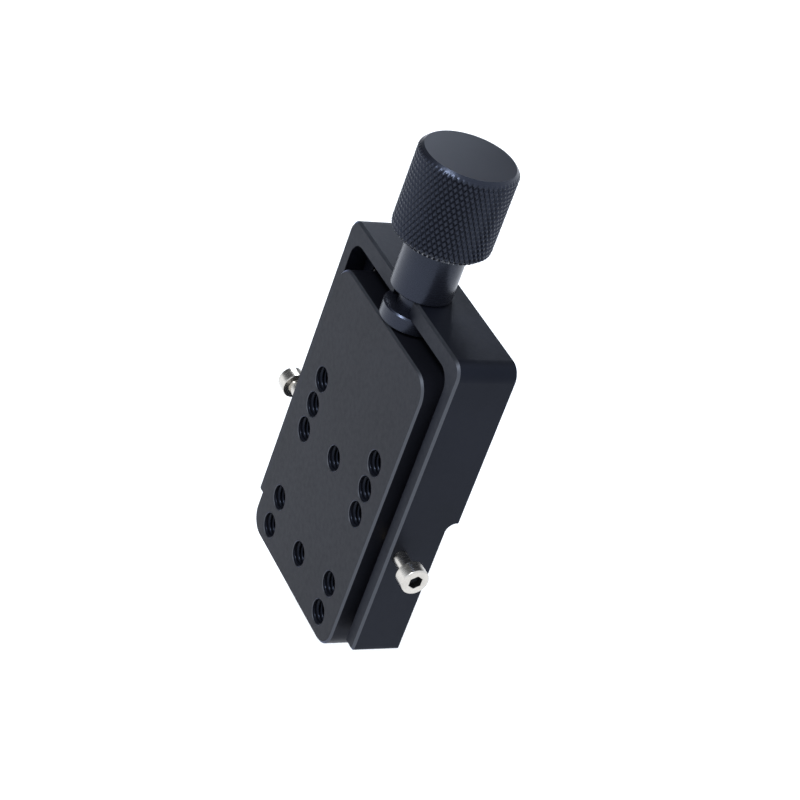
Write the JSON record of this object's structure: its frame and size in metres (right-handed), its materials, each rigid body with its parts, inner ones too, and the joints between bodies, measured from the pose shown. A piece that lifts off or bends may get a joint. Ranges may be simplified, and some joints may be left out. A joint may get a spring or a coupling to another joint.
{
  "type": "dovetail slide",
  "caption": "Small screw-driven dovetail slide with a knurled knob, a tapped carriage and side clamp screws.",
  "frame": {"origin": "middle of the raised rear pad's face, which is the centre of its four tapped holes", "axes": "+Z along the travel, up towards the knob; +Y out of the rear mounting face; +X to the right seen from the front"},
  "size_m": [0.0637, 0.0192, 0.0994],
  "materials": {
    "black_anodised": "bead-blasted, black anodised",
    "black_turned": "turned, black anodised",
    "stainless": "bright",
    "ground_steel": "ground",
    "black_steel": "black oxide",
    "brass": "turned"
  },
  "bodies": {
    "base": {"base": "black_anodised", "gib_strip": "ground_steel", "gib_set_screws": "black_steel"},
    "carriage": {"carriage": "black_anodised", "lead_nut": "brass"},
    "spindle": {"lead_screw": "ground_steel", "spindle_sleeve": "black_turned", "knurled_knob": "black_turned", "knob_set_screw": "black_steel"},
    "right_clamp_pad": {"clamp_pad_right": "brass"},
    "right_clamp_screw": {"clamp_screw_right": "stainless"},
    "left_clamp_pad": {"clamp_pad_left": "brass"},
    "left_clamp_screw": {"clamp_screw_left": "stainless"}
  },
  "joints": [
    {"name": "knob_turn", "type": "hinge", "parent": "base", "child": "spindle", "pos_m": [0, -0.0092, 0.0175], "axis": [0, 0, 1], "range_deg": [0, 9000]},
    {"name": "carriage_slide", "type": "slide", "parent": "base", "child": "carriage", "axis": [0, 0, -1], "range_m": [0, 0.02]},
    {"name": "right_clamp_advance", "type": "slide", "parent": "base", "child": "right_clamp_pad", "axis": [-1, 0, 0], "range_m": [-0.0005, 0.00025]},
    {"name": "right_clamp_turn", "type": "hinge", "parent": "right_clamp_pad", "child": "right_clamp_screw", "pos_m": [0.0233, -0.0098, -0.0254], "axis": [-1, 0, 0], "range_deg": [-360, 180]},
    {"name": "left_clamp_advance", "type": "slide", "parent": "base", "child": "left_clamp_pad", "axis": [1, 0, 0], "range_m": [-0.0005, 0.00025]},
    {"name": "left_clamp_turn", "type": "hinge", "parent": "left_clamp_pad", "child": "left_clamp_screw", "pos_m": [-0.0233, -0.0098, -0.0254], "axis": [1, 0, 0], "range_deg": [-360, 180]}
  ],
  "couplings": [
    {"joint": "knob_turn", "follows": "carriage_slide", "rad_per_m": 7854},
    {"joint": "right_clamp_turn", "follows": "right_clamp_advance", "rad_per_m": 12566},
    {"joint": "left_clamp_turn", "follows": "left_clamp_advance", "rad_per_m": 12566}
  ]
}
